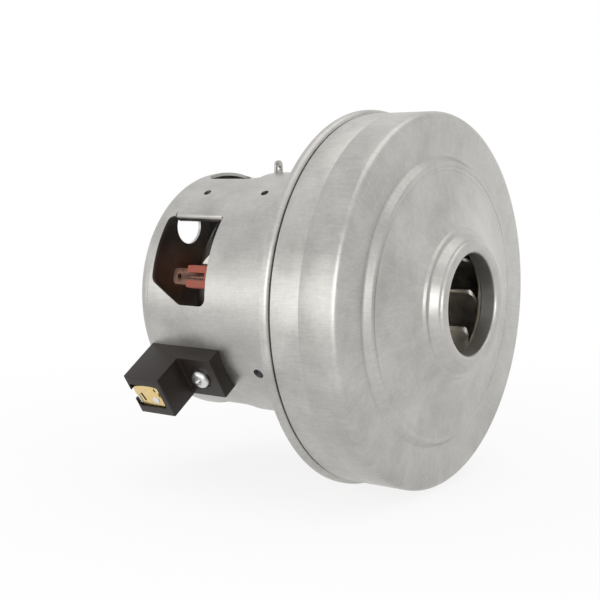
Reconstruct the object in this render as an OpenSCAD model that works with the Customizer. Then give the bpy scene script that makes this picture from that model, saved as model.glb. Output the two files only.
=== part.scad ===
// Vacuum motor unit: a one-stage fan in a drawn steel drum on a two-pole series motor.
// The shaft lies along Y. The air inlet faces -Y and +Z is up. The origin is on the shaft axis,
// in the plane where the fan cover's skirt butts on the motor frame's flange.

/* [Fan cover] */
// Outer diameter of the drum
drum_d = 135; // [125:1:145]
// Depth of the drum from the flange to its flat front
drum_depth = 26; // [24:0.5:30]
// Sheet thickness of the fan cover
cover_wall = 1; // [0.8:0.1:1.2]
// Radius of the drum's front corner
drum_corner_r = 3; // [2:0.5:5]
// Diameter at the foot of the dome
dome_foot_d = 102.4; // [98:0.2:106]
// Height of the step at the dome's foot
dome_step = 2.4; // [1.5:0.1:3.5]
// Height of the dome from the flat front to the collar's foot
dome_h = 8; // [7:0.5:10]
// Diameter of the collar's foot
collar_d = 47.6; // [46:0.2:50]
// Height of the inlet's crest above the flat front
inlet_h = 13.3; // [12:0.1:15]
// Inner diameter of the air inlet
inlet_d = 36; // [34:0.5:37]
// Length of the inlet's tube
inlet_tube_l = 6.5; // [5:0.1:7]

/* [Motor frame] */
// Outer diameter of the can
can_d = 93; // [90:0.5:96]
// Sheet thickness of the can
can_wall = 1.2; // [1:0.1:1.5]
// Length from the flange's face to the rear face
can_l = 79.1; // [77:0.5:83]
// Outer radius of the can's rear corner
can_corner_r = 5.5; // [4:0.5:7]
// Outer diameter of the flange
flange_d = 137.7; // [136:0.1:150]
// Depth of the flange's turned rim
flange_rim = 2.9; // [2:0.1:4]
// How far the rear bearing's boss stands out
boss_h = 6; // [5.5:0.5:8]

/* [Windows] */
// Direction of the brush line, from -X towards +Z
brush_angle = -33.5; // [-40:0.5:-20]
// Angle from the pole line to a window's centre
window_offset = 36.6; // [34:0.2:38]
// Width of a window across the can
window_w = 35.6; // [30:0.2:37]
// Distance of a window's front edge from the flange
window_front = 45; // [44:0.5:48]
// Distance of a window's rear edge from the flange
window_rear = 71; // [68:0.5:72]
// Corner radius of a window
window_r = 3; // [2:0.5:4]
// Length of the chamfer at a window's rear corner
window_cut_l = 13.5; // [8:0.5:15]
// Width of the chamfer at a window's rear corner
window_cut_w = 8; // [5:0.5:10]
// Length of the lip bent in at a window's edge
lip_l = 4; // [3:0.2:5]
// Outer radius of the lip's bend
bend_r = 2; // [1.6:0.1:2.2]
// Diameter of the vents in the rear wall
vent_d = 13.8; // [12:0.2:15]
// Distance of a rear vent's centre from the shaft axis
vent_at = 30.4; // [29:0.2:32]
// Diameter of the tooling holes on the pole line
tool_hole_d = 3; // [2:0.2:4]
// Diameter of the tooling holes on the brush line
brush_hole_d = 4; // [3:0.2:5]

/* [Earth tab] */
// Direction of the earth tab, from -X towards +Z
tab_angle = 87; // [80:1:94]
// Width of the earth tab
tab_w = 4.6; // [4:0.2:6.4]
// Height of the earth tab above the can
tab_h = 4.6; // [4:0.2:7]
// Diameter of the hole in the earth tab
tab_hole_d = 1.7; // [1:0.1:2]

/* [Impeller] */
// Outer diameter of the impeller
impeller_d = 104; // [100:1:106]
// Sheet thickness of the impeller's discs
impeller_t = 0.8; // [0.6:0.1:1]
// Number of blades
blade_n = 9; // [7:1:11]
// Blade angle at the eye
blade_in = 32; // [28:1:40]
// Blade angle at the rim
blade_out = 35; // [30:1:42]
// Blade height at the rim
blade_h = 6.2; // [5:0.1:7]
// Angle of the first blade at rest
blade_phase = 172; // [160:1:200]

/* [Rotor] */
// Shaft diameter at the front bearing and the impeller
shaft_d = 8; // [8:1:8]
// Armature diameter
armature_d = 37.4; // [36:0.2:38]
// Length of the armature and stator stacks
stack_l = 26; // [22:0.5:27]
// Distance of the stacks from the flange
stack_front = 16; // [15:0.5:17]
// Number of armature slots and commutator bars
slot_n = 22; // [18:1:24]
// Commutator diameter
commutator_d = 25; // [23:0.5:26]
// Commutator length
commutator_l = 14; // [12:0.5:15]

/* [Brush gear] */
// Width of the brush holder across the can
holder_w = 17.6; // [17:0.2:19]
// Distance of the holder's front from the flange
holder_front = 41.7; // [41:0.1:44]
// Distance of the holder's rear from the flange
holder_rear = 74; // [73.5:0.1:75]
// Length of the holder's outer box along the shaft
holder_box_l = 17; // [16:0.2:18]
// Height of the holder's plate above the can
holder_plate_h = 5.6; // [5:0.1:7]
// Height of the holder's box above the can
holder_box_h = 18.4; // [17:0.1:20]
// Width of the carbon brush
brush_w = 6.4; // [6:0.1:6.8]
// Length of the carbon brush along the shaft
brush_l = 10; // [9:0.1:10.4]
// Radial length of the carbon brush
brush_h = 27; // [24:0.5:30]
// Turns of a brush spring
spring_turns = 9; // [6:1:12]

/* [Hidden] */
$fn = 96;
cut = 1;                                    // how far a cutting tool runs past a face
fit = 0.05;                                 // radial clearance of a seated piece
drum_r = drum_d / 2;
can_r = can_d / 2;
can_in = can_r - can_wall;
inlet_r = inlet_d / 2;
inlet_front = -drum_depth - inlet_h;
pole_angle = brush_angle + 90;
stack_rear = stack_front + stack_l;
step_run = 2.2;                             // how far the step at the dome's foot leans in
crest_w = 4.5;                              // width of the inlet's crest with both of its corners
crest_r = 2.1;
roll_r = 1.8;                               // outer radius of the flange's turned rim
flange_bend = 2.2;                          // radius between the flange and the can
boss_bend = 1.6;
tool_hole_front = stack_front + 17.5;
tool_hole_rear = window_front + 15.8;
brush_hole_at = stack_front + 10.5;
lip_gap = 1.2;                              // what the lip stops short of the window's front edge
lip_rear_gap = 2.5;                         // and short of its rear edge
lip_in = 2.6;                               // how far the lip's face stands inside the window's edge
tab_t = 0.8;
tab_corner = 1.7;
tab_at = window_front - 0.9;

// Bearings: bore, outer diameter, width, ball diameter, number of balls
front_od = 22;
front_w = 7;
front_ball_d = 3.97;
front_ball_n = 7;
front_size = [shaft_d, front_od, front_w, front_ball_d, front_ball_n];
rear_bore = 7;
rear_od = 19;
rear_w = 6;
rear_ball_d = 3.5;
rear_ball_n = 6;
rear_size = [rear_bore, rear_od, rear_w, rear_ball_d, rear_ball_n];
race_t = 1.5;                               // depth of a race at its shoulder, in the front bearing
shield_t = 0.3;
groove_play = 0.03;                         // clearance between a ball and its groove
ball_play = 0.08;                           // clearance between a ball and its cage
cage_t = 0.9;

// Front bracket
bracket_t = 1.2;
bracket_r = drum_r - cover_wall - fit;      // the cover's skirt presses over this rim
bracket_rim = 11.7;
spoke_w = 13;
port_in = 17;
port_out = can_in - 2.3;
cup_t = 1.2;
seat_r = front_size[1] / 2;
cup_front = -9.4;                           // front face of the front bearing's cup
front_bearing_at = cup_front + cup_t;
cup_lip = 2.3;                              // gap between the cup's front wall and the spacer
screw_room = 4.5;                           // gap between a bracket screw's head and the can
screw_n = 4;
screw_r = 1.4;
screw_l = 7;                                // length of a bracket screw inside its post
screw_hole_r = 1.75;
screw_head_d = 6;
screw_head_h = 2.1;
screw_ring = can_r + screw_room + screw_head_d / 2;

// Diffuser
plate_t = 1.6;
back_gap = 1.5;                             // gap behind the impeller
impeller_back = -16.5;                      // front face of the impeller's back plate
plate_front = impeller_back + impeller_t + back_gap;
plate_r = drum_r - 7.5;
vane_t = 1.2;
vane_n = 13;
return_n = 12;
return_phase = pole_angle - 34;             // keeps the return vanes between the screw posts
return_in = seat_r + cup_t + 5.5;
vane_gap = 1.6;                             // gap between the impeller's rim and the vanes
vane_play = 0.3;                            // gap between the vanes and the drum's front
vane_in = 20;                               // angles of the vanes at their inner and outer ends
vane_out = 38;
return_vane_in = 60;
return_vane_out = 30;
plate_gap = 1.5;                            // gap between the plate and the spacer
post_r = 3.4;

// Impeller
impeller_r = impeller_d / 2;
eye_gap = 0.6;                              // gap between the inlet tube and the impeller's neck
eye_r = inlet_r + cover_wall + eye_gap;
rim_front = impeller_back - blade_h - impeller_t;
neck_gap = 0.9;                             // gap between the tube's end and the neck's end
neck_front = inlet_front + inlet_tube_l + neck_gap;
neck_r = eye_r + impeller_t;
blade_in_gap = 0.3;                         // from the eye to a blade's inner end
blade_out_gap = 0.4;                        // from a blade's outer end to the rim
blade_r0 = eye_r + blade_in_gap;
blade_r1 = impeller_r - blade_out_gap;
blade_t = 0.9;
nut_h = 5.6;
nut_flats = 13;
nut_chamfer = 0.8;
washer_t = 1.2;
washer_r = 9;
spacer_r = 5.4;
thread_end = 2.2;                           // how far the shaft's thread stands out of the nut
slip = 0.02;                                // radial clearance of what is clamped on the shaft

// Rotor
seat_front = impeller_back + impeller_t;    // where the spacer meets the back plate
rear_end = can_l + boss_h;                  // outer face of the rear boss
rear_seat_end = rear_end - can_wall;
wave_t = 0.5;
wave_w = 1.9;
wave_gap = 0.7;                             // radial gap between the wave washer and its seat
rear_bearing_at = rear_seat_end - wave_t - rear_size[2];
thread_r = shaft_d / 2 - 0.1;
chamfer = 0.8;
armature_r = armature_d / 2;
slot_r = 1.55;
slot_at = armature_r - slot_r - 1.15;
slot_mouth = 1.4;
core_r = 5;                                 // radius of the shaft in the armature
insulator_t = 0.8;
winding_over_front = 9;
winding_over_rear = 11;
winding_front = stack_front - winding_over_front;
winding_rear = stack_rear + winding_over_rear;
winding_in = core_r + 1;
winding_r = 4;                              // roundness of the winding's ends
winding_gap = 0.1;
commutator_r = commutator_d / 2;
brush_at = holder_rear - holder_box_l / 2;  // plane of the brushes along the shaft
commutator_front = brush_at - commutator_l / 2;
riser_l = 1.6;
riser_h = 1.8;
bar_t = 3;
hub_end = 0.8;                              // how far the hub stands out behind the bars
bar_gap = 0.6;

// Field
air_gap = 0.5;
pole_r = armature_r + air_gap;
stator_r = can_in - fit;
flat_h = 2.4;                               // flats that let cooling air past the stack
flat_at = stator_r - flat_h;
pole_lip = 3.3;                             // what a pole's tips stand in front of the coil
coil_in = pole_r + pole_lip;
coil_room = 6.5;                            // gap between a coil and the can
coil_out = can_in - coil_room;
coil_side = 17;                             // angle taken up by one side of a coil
coil_half = 76;                             // half of the angle that a coil spans
coil_over_front = 9.5;
coil_over_rear = 15.5;
coil_corner = 5;
coil_front_corner = 3;
liner_over = 2.7;                           // how far the liners reach past the stack
liner_t = 0.5;
guard_t = 0.8;
guard_h = 11;
guard_gap = 0.4;                            // gap between a coil and its guard
guard_half = 38;                            // angle from the pole line to a guard's outer side
guard_span = 11;                            // angle that a coil guard spans
pole_tip = 62;                              // half of the angle that a pole spans

// Brush gear
holder_plate_r = can_r + holder_plate_h;
holder_box_r = can_r + holder_box_h;
tube_t = 0.6;
tube_sunk = 1.2;                            // how deep the tube's end lies in the box
tube_w = brush_w + 0.3 + 2 * tube_t;
tube_l = brush_l + 0.3 + 2 * tube_t;
tube_start = commutator_r + 2.2;
tube_end = holder_box_r - tube_sunk;
stem_w = tube_w + 4;
stem_l = tube_l + 3;
stem_start = commutator_r + 6.5;
stem_play = 0.2;
contact = 0.12;                             // what the brush stands off the commutator
wire_r = 0.28;
spring_r = 2.4;
spring_play = 0.1;
holder_screw_at = holder_front + 7.5;
holder_screw_r = 1.7;
holder_head_d = 7;
holder_head_h = 3.2;
counterbore_d = 8.6;
counterbore_h = 0.4;
head_seat_r = holder_plate_r - counterbore_h;
slot_w = 1;                                 // width of the bent slot in the tube's end
slot_l = 3.4;
notch_w = 4.8;                              // opening in the box's rear wall for the lead
notch_h = 2.4;                              // how far the notch reaches in past the tube's end
clip_w = 4;
clip_t = 0.6;
lead_r = 0.8;

// Terminals
block_angle = pole_angle - 45.5;
block_w = 8.2;
block_gap = 1.4;                            // gap between a block and the can
block_l = 14.4;
block_r = can_in - block_gap;
block_rear = stack_rear + block_l;
groove_w = 3;                               // the groove down the block's outer face
groove_h = 2.2;
spade_w = 6.3;
spade_t = 0.8;
spade_foot = 3;                             // from the stack to a tab's foot
spade_out = 8.8;                            // how far a tab stands out of its block
spade_depth = 3.2;                          // from the block's face to the tab's inner face
spade_front = stack_rear + spade_foot;
spade_rear = block_rear + spade_out;
spade_r = block_r - spade_depth;
spade_nose = 1.2;
spade_hole_r = 0.9;
spade_hole_at = 3.2;                        // from the tab's end to its hole

// Profile functions. A path is a list of [radius, place along the shaft, corner radius].
function unit(v) = v / norm(v);
function right_of(v) = [v.y, -v.x];
function flat(p) = [p.x, p.y];
function cross2(a, b) = a.x * b.y - a.y * b.x;
// Points of one rounded corner at b, between a and c
function corner(a, b, c, r, steps) =
    let (u = unit(a - b), v = unit(c - b), half = acos(u * v) / 2)
    r < 0.02 || half > 89 ? [b] :
    let (centre = b + unit(u + v) * r / sin(half),
         p = b + u * r / tan(half) - centre,
         q = b + v * r / tan(half) - centre,
         start = atan2(p.y, p.x),
         span = atan2(cross2(p, q), p * q))
    [for (i = [0:steps]) centre + r * [cos(start + span * i / steps), sin(start + span * i / steps)]];
function rounded(path, steps = 6) = [for (i = [0:len(path) - 1])
    each i == 0 || i == len(path) - 1 ? [flat(path[i])]
        : corner(flat(path[i - 1]), flat(path[i]), flat(path[i + 1]), path[i].z, steps)];
// The same path, moved by t to the right of its direction
function moved(path, t) = [for (i = [0:len(path) - 1])
    let (here = flat(path[i]), last = len(path) - 1,
         n1 = right_of(unit(here - flat(path[max(i - 1, 0)] + (i == 0 ? path[0] - path[1] : [0, 0, 0])))),
         n2 = right_of(unit(flat(path[min(i + 1, last)] + (i == last ? path[last] - path[last - 1] : [0, 0, 0]))
             - here)),
         m = unit(n1 + n2), p = here + m * t / (m * n1),
         r = path[i].z + t * (cross2(n1, n2) > 0 ? 1 : -1))
    [p.x, p.y, path[i].z < 0.02 ? 0 : max(r, 0)]];
function reversed(list) = [for (i = [len(list) - 1:-1:0]) list[i]];

// Placing helpers. Everything below is drawn upright, with z along the shaft.
module on_shaft() { rotate([-90, 0, 0]) children(); }
// Turns a thing drawn along +x to an angle measured from -X towards +Z
module at(angle) { rotate([0, 0, angle + 180]) children(); }
module up(z) { translate([0, 0, z]) children(); }
// A sheet metal shell of revolution
module spun(path, t, steps = 6) {
    rotate_extrude() polygon(concat(rounded(path, steps), reversed(rounded(moved(path, t), steps))));
}
module ring(r_out, r_in, z0, z1) {
    up(z0) difference() {
        cylinder(r = r_out, h = z1 - z0);
        up(-cut) cylinder(r = r_in, h = z1 - z0 + 2 * cut);
    }
}
// A block from z0 to z1, along the radial line from r0 to r1 and w wide
module radial_block(r0, r1, w, z0, z1) { translate([r0, -w / 2, z0]) cube([r1 - r0, w, z1 - z0]); }
module radial_pin(r0, r1, radius, z) {
    translate([r0, 0, z]) rotate([0, 90, 0]) cylinder(r = radius, h = r1 - r0);
}
// Curved blades: circular arcs that meet the inner circle at angle a0 and the outer one at a1
module blades(n, r0, r1, a0, a1, t, z0, z1, phase) {
    arc_r = (r1 * r1 - r0 * r0) / (2 * (r1 * cos(a1) - r0 * cos(a0)));
    centre = [r0 - arc_r * cos(a0), arc_r * sin(a0)];
    c = norm(centre);
    lean = atan2(centre.y, centre.x);
    swing = acos((r1 * r1 - c * c - arc_r * arc_r) / (2 * arc_r * c));
    span = lean - swing + a0;
    for (i = [0:n - 1])
        at(phase + i * 360 / n) translate([centre.x, centre.y, z0]) rotate([0, 0, -a0])
            rotate_extrude(angle = span) translate([arc_r - t / 2, 0]) square([t, z1 - z0]);
}

// Fan cover
cover_path = [
    [drum_r, 0, 0],
    [drum_r, -drum_depth, drum_corner_r],
    [dome_foot_d / 2, -drum_depth, 1.4],
    [dome_foot_d / 2 - step_run, -drum_depth - dome_step, 1.6],
    [collar_d / 2, -drum_depth - dome_h, 2.6],
    [inlet_r + crest_w, inlet_front, crest_r],
    [inlet_r, inlet_front, crest_r],
    [inlet_r, inlet_front + inlet_tube_l, 0]];
module fan_cover() {
    color("silver") on_shaft() spun(cover_path, cover_wall, 8);
}

// Motor frame
frame_path = [
    [flange_d / 2, flange_rim, 0],
    [flange_d / 2, 0, roll_r],
    [can_in, 0, flange_bend],
    [can_in, can_l - can_wall, can_corner_r - can_wall],
    [rear_size[1] / 2 + fit, can_l - can_wall, boss_bend],
    [rear_size[1] / 2 + fit, rear_seat_end, 0.5],
    [0, rear_seat_end, 0]];
// Where each window's centre lies, and which of its sides carries the lip
windows = [for (pole = [pole_angle, pole_angle + 180], side = [-1, 1]) [pole + side * window_offset, side]];
lip_front = window_front + lip_gap;
lip_rear = window_rear - lip_rear_gap;
// Outline of a window across the can (y) and along the shaft (x). Its lip side is at +y.
window_path = [
    [window_front, 0, 0],
    [window_front, -window_w / 2, window_r],
    [window_rear - window_cut_l, -window_w / 2, window_r],
    [window_rear, -window_w / 2 + window_cut_w, window_r],
    [window_rear, window_w / 2, window_r + 1],
    [window_front, window_w / 2, 0],
    [window_front, 0, 0]];
module window_hole(side) {
    translate([can_r * 0.6, 0, 0]) rotate([90, 0, 90]) linear_extrude(height = can_r)
        polygon([for (p = rounded(window_path, 5)) [-side * p.y, p.x]]);
}
// The edge of a window, bent in towards the inside of the can
module window_lip(side) {
    edge = window_w / 2 - lip_in;
    root = asin(window_w / 2 / can_r) + 2;
    corner_x = sqrt(can_r * can_r - edge * edge);
    root_r = can_r - can_wall / 4;
    path = [[root_r * cos(root), root_r * sin(root), 0], [corner_x, edge, bend_r], [corner_x - lip_l, edge, 0]];
    outline = concat(rounded(path, 5), reversed(rounded(moved(path, can_wall), 5)));
    up(lip_front) linear_extrude(height = lip_rear - lip_front) polygon([for (p = outline) [p.x, -side * p.y]]);
}
module earth_tab() {
    nose = can_r + tab_h - tab_corner;
    up(tab_at) difference() {
        union() {
            radial_block(can_r - can_wall / 2, nose, tab_w, 0, tab_t);
            translate([nose, 0, 0]) cylinder(r = tab_corner, h = tab_t);
            radial_block(can_r - can_wall / 2, can_r + tab_h - 0.4, tab_w - 2 * (tab_corner - 0.8), 0, tab_t);
        }
        translate([can_r + 1.4, 0, -cut]) cylinder(r = tab_hole_d / 2, h = tab_t + 2 * cut);
    }
}
module motor_frame() {
    color("gainsboro") on_shaft() {
        difference() {
            spun(frame_path, can_wall, 6);
            for (w = windows) at(w[0]) window_hole(w[1]);
            for (a = [0:90:270]) at(pole_angle + a)
                translate([vent_at, 0, can_l - 2 * can_wall]) cylinder(r = vent_d / 2, h = 3 * can_wall);
            for (a = [0, 180]) {
                at(pole_angle + a) for (z = [tool_hole_front, tool_hole_rear])
                    radial_pin(can_in - cut, can_r + cut, tool_hole_d / 2, z);
                at(brush_angle + a) {
                    radial_pin(can_in - cut, can_r + cut, brush_hole_d / 2, brush_hole_at);
                    radial_pin(can_in - cut, can_r + cut, holder_screw_r, holder_screw_at);
                    radial_block(can_in - 2 * cut, can_r + cut, stem_w + 2 * stem_play,
                        brush_at - stem_l / 2 - stem_play, brush_at + stem_l / 2 + stem_play);
                }
            }
            screw_places() up(-cut) cylinder(r = screw_hole_r, h = can_wall + 2 * cut);
        }
        for (w = windows) at(w[0]) window_lip(w[1]);
        at(tab_angle) earth_tab();
    }
}
// Repeats a thing at each of the bracket screws
module screw_places() {
    for (i = [0:screw_n - 1]) at(pole_angle + i * 360 / screw_n) translate([screw_ring, 0, 0]) children();
}

// Front bracket: the dish that the cover presses over, with the front bearing's cup and four ports
bracket_path = [
    [bracket_r, -bracket_rim, 0],
    [bracket_r, 0, 2],
    [seat_r + fit + cup_t, 0, 1.6],
    [seat_r + fit + cup_t, cup_front, 1.4],
    [spacer_r + cup_lip, cup_front, 0]];
module front_bracket() {
    color("darkgray") on_shaft() difference() {
        spun(bracket_path, -bracket_t, 5);
        intersection() {
            ring(port_out, port_in, -bracket_t - cut, cut);
            // four quarters, less half a spoke on each side
            for (i = [0:3]) at(pole_angle + 45 + i * 90) up(-bracket_t - cut)
                linear_extrude(height = bracket_t + 2 * cut) translate([spoke_w / 2 * sqrt(2), 0])
                    polygon([[0, 0], [can_d, can_d], [can_d, -can_d]]);
        }
        screw_places() up(-bracket_t - cut) cylinder(r = screw_hole_r, h = bracket_t + 2 * cut);
    }
}
// Screws that hold the diffuser and the bracket on the frame's flange
module bracket_screws() {
    color("silver") on_shaft() screw_places() {
        up(-bracket_t - screw_l) cylinder(r = screw_r, h = screw_l + bracket_t + can_wall + screw_head_h / 4);
        up(can_wall) pan_head(screw_head_d, screw_head_h);
    }
}
// A pan head that faces +z, with a cross recess
module pan_head(d, h) {
    difference() {
        rotate_extrude() polygon(concat([[0, 0]], rounded([[d / 2, 0, 0], [d / 2, h, h * 0.62], [0, h, 0]], 6)));
        for (a = [0, 90]) rotate([0, 0, a]) translate([-d * 0.27, -d * 0.06, h * 0.45])
            cube([d * 0.54, d * 0.12, h]);
    }
}

// Diffuser: a moulded plate with outer vanes in front and return vanes behind
module diffuser() {
    color("dimgray") on_shaft() difference() {
        union() {
            ring(plate_r, spacer_r + plate_gap, plate_front, plate_front + plate_t);
            blades(vane_n, impeller_r + vane_gap, drum_r - cover_wall - 2, vane_in, vane_out, vane_t,
                cover_wall + vane_play - drum_depth, plate_front + plate_t * 0.75, 0);
            blades(return_n, return_in, plate_r - 1, return_vane_in, return_vane_out, vane_t,
                plate_front + plate_t / 2, -bracket_t, return_phase);
            screw_places() up(plate_front + plate_t / 2)
                cylinder(r = post_r, h = -bracket_t - plate_front - plate_t / 2);
        }
        screw_places() up(-bracket_t - screw_l - 1) cylinder(r = screw_r + fit, h = screw_l + 1 + cut);
    }
}

// Impeller
shroud_path = [
    [impeller_r, rim_front, 0],
    [neck_r, neck_front + 1.9, 1.4],
    [neck_r, neck_front, 0]];
module impeller_shroud() { color("lightgray") on_shaft() spun(shroud_path, impeller_t, 5); }
module impeller_back_plate() {
    color("lightgray") on_shaft() ring(impeller_r, shaft_d / 2 + slip, impeller_back, impeller_back + impeller_t);
}
module impeller_blades() {
    under = rounded(moved(shroud_path, impeller_t), 5);
    color("darkgray") on_shaft() intersection() {
        blades(blade_n, blade_r0, blade_r1, blade_in, blade_out, blade_t, neck_front - 2, impeller_back,
            blade_phase);
        rotate_extrude() polygon(concat([[0, impeller_back + cut], [impeller_r + cut, impeller_back + cut]],
            [[impeller_r + cut, under[0].y]], under, [[0, neck_front]]));
    }
}
module impeller_spacer() {
    color("gray") on_shaft() ring(spacer_r, shaft_d / 2 + slip, seat_front, front_bearing_at);
}
module impeller_washer() {
    color("silver") on_shaft() ring(washer_r, shaft_d / 2 + slip, impeller_back - washer_t, impeller_back);
}
module impeller_nut() {
    top = impeller_back - washer_t;
    color("silver") on_shaft() difference() {
        intersection() {
            up(top - nut_h) cylinder(r = nut_flats / 2 / cos(30), h = nut_h, $fn = 6);
            up(top - nut_h)
                cylinder(r1 = nut_flats / 2 - nut_chamfer / 3, r2 = nut_flats / 2 + nut_h * 1.6, h = nut_h);
        }
        up(top - nut_h - cut) cylinder(r = shaft_d / 2 + slip, h = nut_h + 2 * cut);
    }
}

// Rotor
module shaft() {
    tip = impeller_back - washer_t - nut_h - thread_end;
    body = front_bearing_at + front_size[2];
    rear = rear_bearing_at;
    color("silver") on_shaft() rotate_extrude() polygon([
        [0, tip], [thread_r - chamfer, tip], [thread_r, tip + chamfer], [thread_r, impeller_back - washer_t],
        [shaft_d / 2, impeller_back - washer_t], [shaft_d / 2, body], [core_r, body + chamfer / 2],
        [core_r, rear - chamfer / 2], [rear_size[0] / 2, rear],
        [rear_size[0] / 2, rear + rear_size[2] - chamfer / 2],
        [(rear_size[0] - chamfer) / 2, rear + rear_size[2]], [0, rear + rear_size[2]]]);
}
module slots(r, z0, z1, mouth) {
    for (i = [0:slot_n - 1]) at(brush_angle + i * 360 / slot_n) {
        translate([slot_at, 0, z0]) cylinder(r = r, h = z1 - z0, $fn = 24);
        if (mouth > 0) radial_block(slot_at, armature_r + cut, mouth, z0, z1);
    }
}
module armature_core() {
    color("slategray") on_shaft() difference() {
        ring(armature_r, core_r + slip, stack_front, stack_rear);
        slots(slot_r, stack_front - cut, stack_rear + cut, slot_mouth);
    }
}
// Moulded discs that keep the wire off the ends of the stack
module armature_insulators() {
    color("ivory") on_shaft() for (z = [stack_front - insulator_t, stack_rear]) difference() {
        ring(armature_r - insulator_t / 2, core_r + slip, z, z + insulator_t);
        slots(slot_r, z - cut, z + insulator_t + cut, slot_mouth);
    }
}
module armature_winding() {
    end_r = slot_at + slot_r + 0.25;
    front = stack_front - insulator_t;
    rear = stack_rear + insulator_t;
    color("peru") on_shaft() {
        slots(slot_r - fit, front - winding_r / 8, rear + winding_r / 8, 0);
        rotate_extrude() polygon(rounded([[winding_in, front, 0], [winding_in, winding_front, winding_r / 1.6],
            [end_r - 1, winding_front, winding_r], [end_r, front, 0], [winding_in, front, 0]], 5));
        rotate_extrude() polygon(rounded([[winding_in, rear, 0], [end_r, rear, 0],
            [end_r - 1.6, winding_rear, winding_r], [commutator_r - 1.2, commutator_front - winding_gap, 0],
            [winding_in, commutator_front - winding_gap, 0], [winding_in, rear, 0]], 5));
    }
}
module commutator_hub() {
    color("maroon") on_shaft() ring(commutator_r - bar_t, core_r + slip, commutator_front,
        commutator_front + commutator_l + hub_end);
}
module commutator_segments() {
    color("darkorange") on_shaft() difference() {
        union() {
            ring(commutator_r, commutator_r - bar_t, commutator_front, commutator_front + commutator_l);
            ring(commutator_r + riser_h, commutator_r - bar_t, commutator_front, commutator_front + riser_l);
        }
        for (i = [0:slot_n - 1]) at(brush_angle + (i + 0.5) * 360 / slot_n)
            radial_block(commutator_r - bar_t - cut, commutator_r + riser_h + cut, bar_gap, commutator_front - cut,
                commutator_front + commutator_l + cut);
    }
}

// Ball bearings, drawn from z = 0 to their width
function ball_r(size) = size[3] / 2;
function ball_ring(size) = (size[0] + size[1]) / 4;
function shoulder(size) = race_t * size[1] / front_size[1];
module bearing_outer(size) {
    inner = size[1] / 2 - shoulder(size);
    difference() {
        ring(size[1] / 2, inner, 0, size[2]);
        groove(size);
        for (z = [-cut, size[2] - shield_t - 2 * fit]) up(z)
            cylinder(r = inner + shield_t * 1.6, h = shield_t + 2 * fit + cut);
    }
}
module bearing_inner(size) {
    difference() {
        ring(size[0] / 2 + shoulder(size), size[0] / 2, 0, size[2]);
        groove(size);
    }
}
module groove(size) {
    up(size[2] / 2) rotate_extrude() translate([ball_ring(size), 0])
        circle(r = ball_r(size) + groove_play, $fn = 48);
}
module bearing_balls(size) {
    for (i = [0:size[4] - 1]) rotate([0, 0, i * 360 / size[4]])
        translate([ball_ring(size), 0, size[2] / 2]) sphere(r = ball_r(size), $fn = 48);
}
module bearing_cage(size) {
    difference() {
        ring(ball_ring(size) + cage_t / 2, ball_ring(size) - cage_t / 2, size[2] / 2 - ball_r(size) * 0.8,
            size[2] / 2 + ball_r(size) * 0.8);
        for (i = [0:size[4] - 1]) rotate([0, 0, i * 360 / size[4]])
            translate([ball_ring(size), 0, size[2] / 2]) sphere(r = ball_r(size) + ball_play, $fn = 48);
    }
}
module bearing_shields(size) {
    inner = size[1] / 2 - shoulder(size);
    for (z = [fit, size[2] - shield_t - fit]) up(z)
        ring(inner + shield_t * 1.5, size[0] / 2 + shoulder(size) + 0.2, 0, shield_t);
}
module in_front() { on_shaft() up(front_bearing_at) children(); }
module in_rear() { on_shaft() up(rear_bearing_at) children(); }
module front_bearing_outer() { color("silver") in_front() bearing_outer(front_size); }
module front_bearing_inner() { color("silver") in_front() bearing_inner(front_size); }
module front_bearing_balls() { color("white") in_front() bearing_balls(front_size); }
module front_bearing_cage() { color("tan") in_front() bearing_cage(front_size); }
module front_bearing_shields() { color("gray") in_front() bearing_shields(front_size); }
module rear_bearing_outer() { color("silver") in_rear() bearing_outer(rear_size); }
module rear_bearing_inner() { color("silver") in_rear() bearing_inner(rear_size); }
module rear_bearing_balls() { color("white") in_rear() bearing_balls(rear_size); }
module rear_bearing_cage() { color("tan") in_rear() bearing_cage(rear_size); }
module rear_bearing_shields() { color("gray") in_rear() bearing_shields(rear_size); }
// Spring washer that presses the rear bearing forwards
module wave_washer() {
    color("silver") on_shaft() ring(rear_od / 2 - wave_gap, rear_od / 2 - wave_gap - wave_w,
        rear_seat_end - wave_t, rear_seat_end);
}

// Field
module pole_sector(half, r) {
    // a wedge of the plane, 2 * half wide, from the centre out to r
    polygon([[0, 0], for (i = [0:8]) r * [cos(-half + i * half / 4), sin(-half + i * half / 4)]]);
}
module coil_slot(play) {
    // the room of one coil's two sides, seen along the shaft
    difference() {
        intersection() {
            difference() {
                circle(r = coil_out + play);
                circle(r = coil_in - play);
            }
            pole_sector(coil_half + play * 2, 2 * can_r);
        }
        pole_sector(coil_half - coil_side - play * 2, 2 * can_r);
    }
}
module stator_core() {
    color("lightslategray") on_shaft() up(stack_front) linear_extrude(height = stack_l) difference() {
        intersection() {
            circle(r = stator_r);
            rotate(pole_angle) square([2 * flat_at, can_d], center = true);
        }
        circle(r = pole_r);
        for (a = [0, 180]) rotate(pole_angle + a + 180) coil_slot(liner_t + fit);
        for (a = [0, 180]) rotate(brush_angle + a + 180) intersection() {
            circle(r = coil_out + liner_t + fit);
            pole_sector(90 - pole_tip, can_d);
        }
    }
}
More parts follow.
